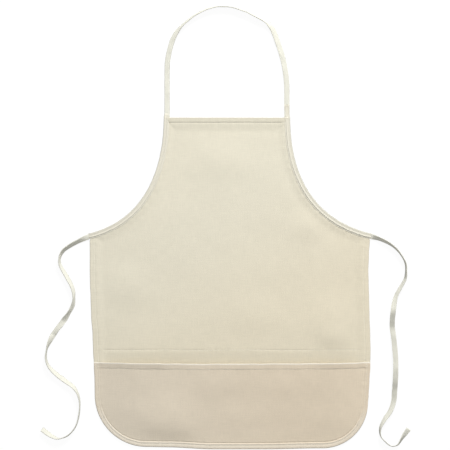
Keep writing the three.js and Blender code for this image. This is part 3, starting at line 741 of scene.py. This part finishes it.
def pocket_heights(places):
    """Face and back of the pocket's cloth at each place."""
    base = body_heights(places)[0]
    x, y = places[:, 0], places[:, 1]
    distance, spot = nearest(pocket_rim, places, closed=False)
    from_mouth = mouth_at(x) - y
    depth = np.clip((mouth_level - y) / (mouth_level - deepest), 0, 1)
    loose = np.sin(math.pi / 2 * np.clip((distance - 0.0125) / 0.032, 0, 1))
    gape = pocket_lift * eased(mouth_form, 1, x / half_skirt) * (1 - depth ** 1.3) * loose
    tight = np.sin(math.pi / 2 * np.clip((distance - 0.0125) / 0.045, 0, 1))
    billow = swell_at(places, pocket_swells) * tight * ramp(from_mouth, 0.0, 0.03)
    fuss = 0.0009 * unrest(places, 4.1) * loose
    run = np.interp(spot, np.arange(len(pocket_run)), pocket_run)
    stitched = stitch_distance(places)
    stitched = np.where(y > -0.3, side_stitching, stitched)
    over_hem = (hem_thick - cloth_thick) * (1 - ramp(distance, 0.0125, 0.06))
    base = np.maximum(base, cloth_thick + over_hem)
    pucker = 0.0003 * ripple(run, (0.0093, 0.0148, 0.0221), 7)
    pucker *= beside_seam(distance, stitched)
    seam = 0.00022 * ripple(x, (0.0083, 0.0131, 0.0209), 9)
    seam *= narrow(from_mouth - mouth_stitching, 0.007)
    fall = eased(mouth_fall, 1, x) * np.clip(1 - from_mouth / mouth_stitching, 0, 1)
    fall *= ramp(distance, 0.004, 0.02)
    face = base + 0.0002 + gape + billow + fuss + pucker + seam + fall + cloth_thick
    low = ramp(-y, 0.36, 0.42)  # 1 along the bottom hem
    face += 0.0006 * low * (1 - ramp(distance, stitched - 0.0006, stitched + 0.0006))
    turned = (0.0003 + 0.0004 * eased(mouth_pull, 1, x)) * (1 - ramp(from_mouth, 0.0116, 0.0134))
    face += turned
    back = np.maximum(face - cloth_thick - turned, base + 0.0001)
    pull = 0.0003 * ramp(distance, 0.001, 0.003)
    groove = pull * narrow(from_mouth - mouth_stitching, 0.0008)
    groove += (0.0001 + 0.0004 * low) * narrow(distance - stitched - 0.0011, 0.0008)
    groove += (0.0002 + 0.0004 * low) * narrow(distance - stitched + hem_inset, 0.0007)
    face = face - groove
    lip = rolled(from_mouth, 0.0017)
    middle = (face + back) / 2
    face, back = middle + (face - middle) * lip, middle + (back - middle) * lip
    wrap = rolled(distance, 0.0018)
    inner_wrap = rolled(distance - 0.0008, 0.0016)
    return 0.0008 + (face - 0.0008) * wrap, 0.0004 + (back - 0.0004) * inner_wrap


mouth_stitched = np.full(len(mouth_edge), mouth_stitching)
pocket_stitched = np.concatenate([stitch_distance(pocket_rim), mouth_stitched])
pocket_stitched[:len(pocket_rim)][pocket_rim[:, 1] > -0.3] = side_stitching
pocket_net, pocket_faces = cut_cloth(pocket_edge, ring_distances(pocket_stitched), 0.0042)
pocket_face, pocket_back = pocket_heights(pocket_net)
pocket_finish = woven("pocket_duck", pocket_cream, body_thread, duck_relief, 0.5, highlight_cream)
from_rim = nearest(pocket_rim, pocket_net, closed=False)[0]
from_mouth = mouth_at(pocket_net[:, 0]) - pocket_net[:, 1]
# Painted highlight: a little along the bottom hem's band and strongly on the mouth's rolled lip, towards
# the paler cream.
painted_highlight = 0.3 * (1 - ramp(from_rim, 0.0105, 0.0135)) * ramp(-pocket_net[:, 1], 0.37, 0.41)
painted_highlight = np.maximum(painted_highlight, 0.9 * (1 - ramp(from_mouth, 0.0014, 0.0028)))
pocket = sew_sheet("pocket_cloth", pocket_edge, pocket_net, pocket_faces, pocket_face, pocket_back,
                   pocket_finish, "pocket_cloth", painted_highlight, ramp(pocket_net[:, 0], -0.28, 0.2))
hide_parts("pocket_panel")

# Topstitching
# Cream cotton thread, about eight stitches to the inch, through the hems and the mouth's fold, in
# one straight row across the body above the pocket, and doubled back at the mouth's corners.
upward = np.array([0.0, 0.0, 1.0])


def on_cloth(track, heights, back=False):
    """The track laid on a cloth, with the way out of it."""
    z = heights(track)[1 if back else 0]
    out = np.broadcast_to(-upward if back else upward, (len(track), 3))
    return np.column_stack([track, z]), out


def stitched_track(edge, inset=0.0):
    """The row of stitches inside an edge."""
    return moved_left(edge, (stitch_distance(edge) - inset)[:, None])


row_step = 0.003
top_edge = run_apart(np.array([(0.119, bib_height), (-0.131, bib_height)]), row_step)
whole_hem = lower_edge(hem_start, row_step)
left_hem = side_line(-1, hem_start, mouth_level - 0.002, row_step)
right_hem = side_line(1, hem_start, mouth_level - 0.002, row_step)[::-1]
body_rows = [
    (stitched_track(top_edge), False), (stitched_track(left_hem), False),
    (stitched_track(right_hem), False), (line_track, False), (line_track, True),
    (stitched_track(top_edge), True), (stitched_track(whole_hem, hem_inset), True),
]
beads = [stitch_beads(*on_cloth(track, body_heights, back)) for track, back in body_rows]
body_stitches = make_piece("body_stitches", *joined(beads), thread_finish, "cloth")

pocket_hem = moved_left(lower_edge(mouth_level - 0.003, row_step), -pocket_overlap)
stitched_mouth = np.column_stack([mouth_across, mouth_at(mouth_across) - mouth_stitching])
pocket_rows = [stitched_track(pocket_hem, hem_inset), stitched_mouth[3:-3]]
for side in (-1, 1):
    for step_in in (0.0075, 0.0095):
        tack = side_line(side, mouth_level - 0.001, mouth_level - 0.016, row_step)
        pocket_rows.append(tack - (side * step_in, 0))
for x in (0.0605, 0.069):
    pocket_rows.append(np.column_stack([np.full(4, x), mouth_at(x) - np.linspace(0.0012, 0.0085, 4)]))
beads = [stitch_beads(*on_cloth(track, pocket_heights)) for track in pocket_rows]
pocket_stitches = make_piece("pocket_stitches", *joined(beads), thread_finish, "pocket_cloth")

# Armhole tapes
# The same tape folded over each raw armhole edge and stitched through all layers near its inner
# edge. It runs on without a break as the tie below and as the neck loop above.
around_fold = [
    (0.0, 0.0), (0.1, 0.75), (0.45, 1.4), (1.1, 1.76), (2.3, 1.7), (4.5, 1.36), (6.6, 1.14),
    (8.0, 1.84), (8.7, 1.94), (9.6, 1.3), (10.3, 0.6), (11.0, 0.64), (11.7, 0.84),
    (12.3, 0.8), (12.3, 0.6), (11.6, 0.44), (8.0, 0.44), (3.0, 0.6), (1.5, 0.6), (1.1, 0.35),
]
stitch_row = 10
tape_middle = 0.0018
leg_inset = 0.0014
armhole_cream = (0.77, 0.735, 0.62)
armhole_finish = woven("armhole_cotton", armhole_cream, tape_thread, tape_relief, 0.5, tape_edge_shade)


def armhole_tape(name, node, side, above, beyond, seed):
    """The tape round one armhole, run on above the bib and beyond the waist. Gives the beads of
    its two rows of stitches."""
    curve = armhole(side, tape_step)
    rise = np.arange(above, 0.0004, -tape_step)
    top = curve[0] + rise[:, None] * (0.0, 1.0)
    top[:, 0] -= side * leg_inset * ramp(rise, 0, 0.009)
    reach = np.arange(0.0012, beyond, 0.0012)
    end = curve[-1] + reach[:, None] * (side, -0.14)
    places = np.vstack([top, curve, end])
    thin = np.concatenate([ramp(rise, 0, 0.007), np.zeros(len(curve)), ramp(reach, -0.001, 0.003)])
    inward = np.column_stack([-side * left_of(places), np.zeros(len(places))])
    at = run_length(places)
    half = np.array(around_fold) / 1000
    ring = np.vstack([half, half[:0:-1] * (1, -1)])
    wide = ring[:, 0] * (1 - 0.09 * thin)[:, None]
    wide = wide + 0.0002 * ripple(at, (0.017, 0.029, 0.053), seed)[:, None]
    high = ring[:, 1] * (1 - 0.45 * thin + 0.04 * ripple(at, (0.0093, 0.015, 0.023), seed + 1))[:, None]
    sections = np.column_stack([places, np.full(len(places), tape_middle)])[:, None]
    sections = sections + inward[:, None] * wide[..., None] + upward * high[..., None]
    girth = ring[:, 0]
    weave = np.stack(np.broadcast_arrays(girth[None, :], at[:, None]), axis=-1).reshape(-1, 2)
    # Painted shade on the tape's outer roll over the armhole edge, fading inwards.
    outer_roll_shade = np.broadcast_to(0.8 * (1 - ramp(girth, 0.0003, 0.0024)), (len(at), len(girth))).ravel()
    tape = make_piece(name, *loft(sections), armhole_finish, "tape", weave, outer_roll_shade)
    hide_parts(node)
    faces = [(sections[:, stitch_row], 1.0), (sections[:, len(ring) - stitch_row], -1.0)]
    return [stitch_beads(track, np.broadcast_to(upward * way_out, track.shape))
            for track, way_out in faces]


left_rows = armhole_tape("left_armhole_tape", "left_armhole_binding", -1, 0.009, 0.0045, 2)
right_rows = armhole_tape("right_armhole_tape", "right_armhole_binding", 1, 0.028, 0.0045, 3)

# The tape's two ends meet at the right bib corner, one inside the other, under two rows across.
lap_rows = []
for level in (0.2752, 0.2779):
    across_leg = np.column_stack([np.linspace(0.1192, 0.1282, 8), np.full(8, level), np.full(8, 0.0029)])
    lap_rows.append(stitch_beads(across_leg, np.broadcast_to(upward, across_leg.shape), thick=0.0006))
make_piece("armhole_stitches", *joined(left_rows + right_rows + lap_rows), thread_finish, "tape")

# Neck loop
# The tape goes on from bib corner to bib corner in one fixed loop, flat up the legs and standing
# on edge over the top, where it turns and kinks by its own stiffness.
loop_height = 0.239
loop_inset = 0.0072
leg_fall = 0.0008

# From the left bib corner to the right one: across from -1 to 1 between the legs, share of the
# loop's height, degrees that the inner edge is raised, and 1 where the leg lies on the hem.
loop_route = [
    (-1.0, 0.0, 0, 1), (-1.0, 0.16, 0, 0), (-1.0, 0.32, 0, 0), (-0.999, 0.42, 3, 0),
    (-0.988, 0.525, 8, 0), (-0.945, 0.635, 14, 0), (-0.895, 0.716, 24, 0), (-0.84, 0.77, 38, 0),
    (-0.755, 0.826, 60, 0), (-0.551, 0.917, 73, 0), (-0.35, 0.974, 70, 0), (-0.196, 0.997, 78, 0),
    (-0.075, 1.0, 84, 0), (0.065, 0.995, 84, 0), (0.297, 0.957, 78, 0), (0.414, 0.929, 72, 0),
    (0.58, 0.885, 66, 0), (0.662, 0.863, 48, 0), (0.757, 0.8, 18, 0), (0.854, 0.667, 12, 0),
    (0.943, 0.509, 8, 0), (0.995, 0.323, 3, 0), (1.0, 0.15, 0, 0), (1.0, 0.0, 0, 1),
]
left_leg = top_left[0] + loop_inset
right_leg = top_right[0] - loop_inset
foot = bib_height + 0.0003
rows = [((left_leg + right_leg) / 2 + across * (right_leg - left_leg) / 2,
         foot + up * (bib_height + loop_height - foot), -tilt, rise * leg_fall)
        for across, up, tilt, rise in loop_route]
loop_tape = make_tape("neck_loop_tape", smooth_line(rows, tape_step), (0.0, 1.0), 4, -1)[0]
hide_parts("neck_loop")

# Floor and light
# A plain white table under a broad soft lamp beyond the neck end, in a pale room that is brighter
# above than below. The table gives no light back to the cloth, whose edges keep their own shade.
floor_mesh = bpy.data.meshes.new("floor")
floor_reach = 4
floor_level = -0.0005
ends = [(x * floor_reach, y * floor_reach, floor_level) for x, y in ((-1, -1), (1, -1), (1, 1), (-1, 1))]
floor_mesh.from_pydata(ends, [], [(0, 1, 2, 3)])
floor = bpy.data.objects.new("floor", floor_mesh)
scene.collection.objects.link(floor)
floor_finish = bpy.data.materials.new("white_table")
floor_finish.use_nodes = True
floor_shader = floor_finish.node_tree.nodes["Principled BSDF"]
floor_shader.inputs["Base Color"].default_value = (0.1, 0.1, 0.1, 1)
floor_shader.inputs["Roughness"].default_value = 1.0
floor_shader.inputs["Specular IOR Level"].default_value = 0.0
floor_shader.inputs["Emission Color"].default_value = (1, 1, 1, 1)
floor_shader.inputs["Emission Strength"].default_value = 0.93
floor_mesh.materials.append(floor_finish)
floor.visible_diffuse = False
floor.visible_glossy = False

world = bpy.data.worlds.new("room")
world.use_nodes = True
room = world.node_tree
background = room.nodes["Background"]
toward = room.nodes.new("ShaderNodeTexCoord")
split_toward = room.nodes.new("ShaderNodeSeparateXYZ")
height_share = room.nodes.new("ShaderNodeMapRange")
height_share.inputs["From Min"].default_value = -0.15
height_share.inputs["From Max"].default_value = 0.15
height_share.inputs["To Min"].default_value = 0.25
height_share.inputs["To Max"].default_value = 0.48
room.links.new(toward.outputs["Generated"], split_toward.inputs[0])
room.links.new(split_toward.outputs["Z"], height_share.inputs["Value"])
room.links.new(height_share.outputs[0], background.inputs["Strength"])
background.inputs["Color"].default_value = (1, 1, 1, 1)
scene.world = world

lamp = bpy.data.objects.new("lamp", bpy.data.lights.new("lamp", "AREA"))
lamp.data.shape = "DISK"
lamp.data.size = 1.5
lamp.data.energy = 235
lamp.location = (1.15, 3.9, 2.27)
lamp.rotation_euler = (math.radians(-60), math.radians(14), 0)
scene.collection.objects.link(lamp)
scene.view_settings.view_transform = "Standard"
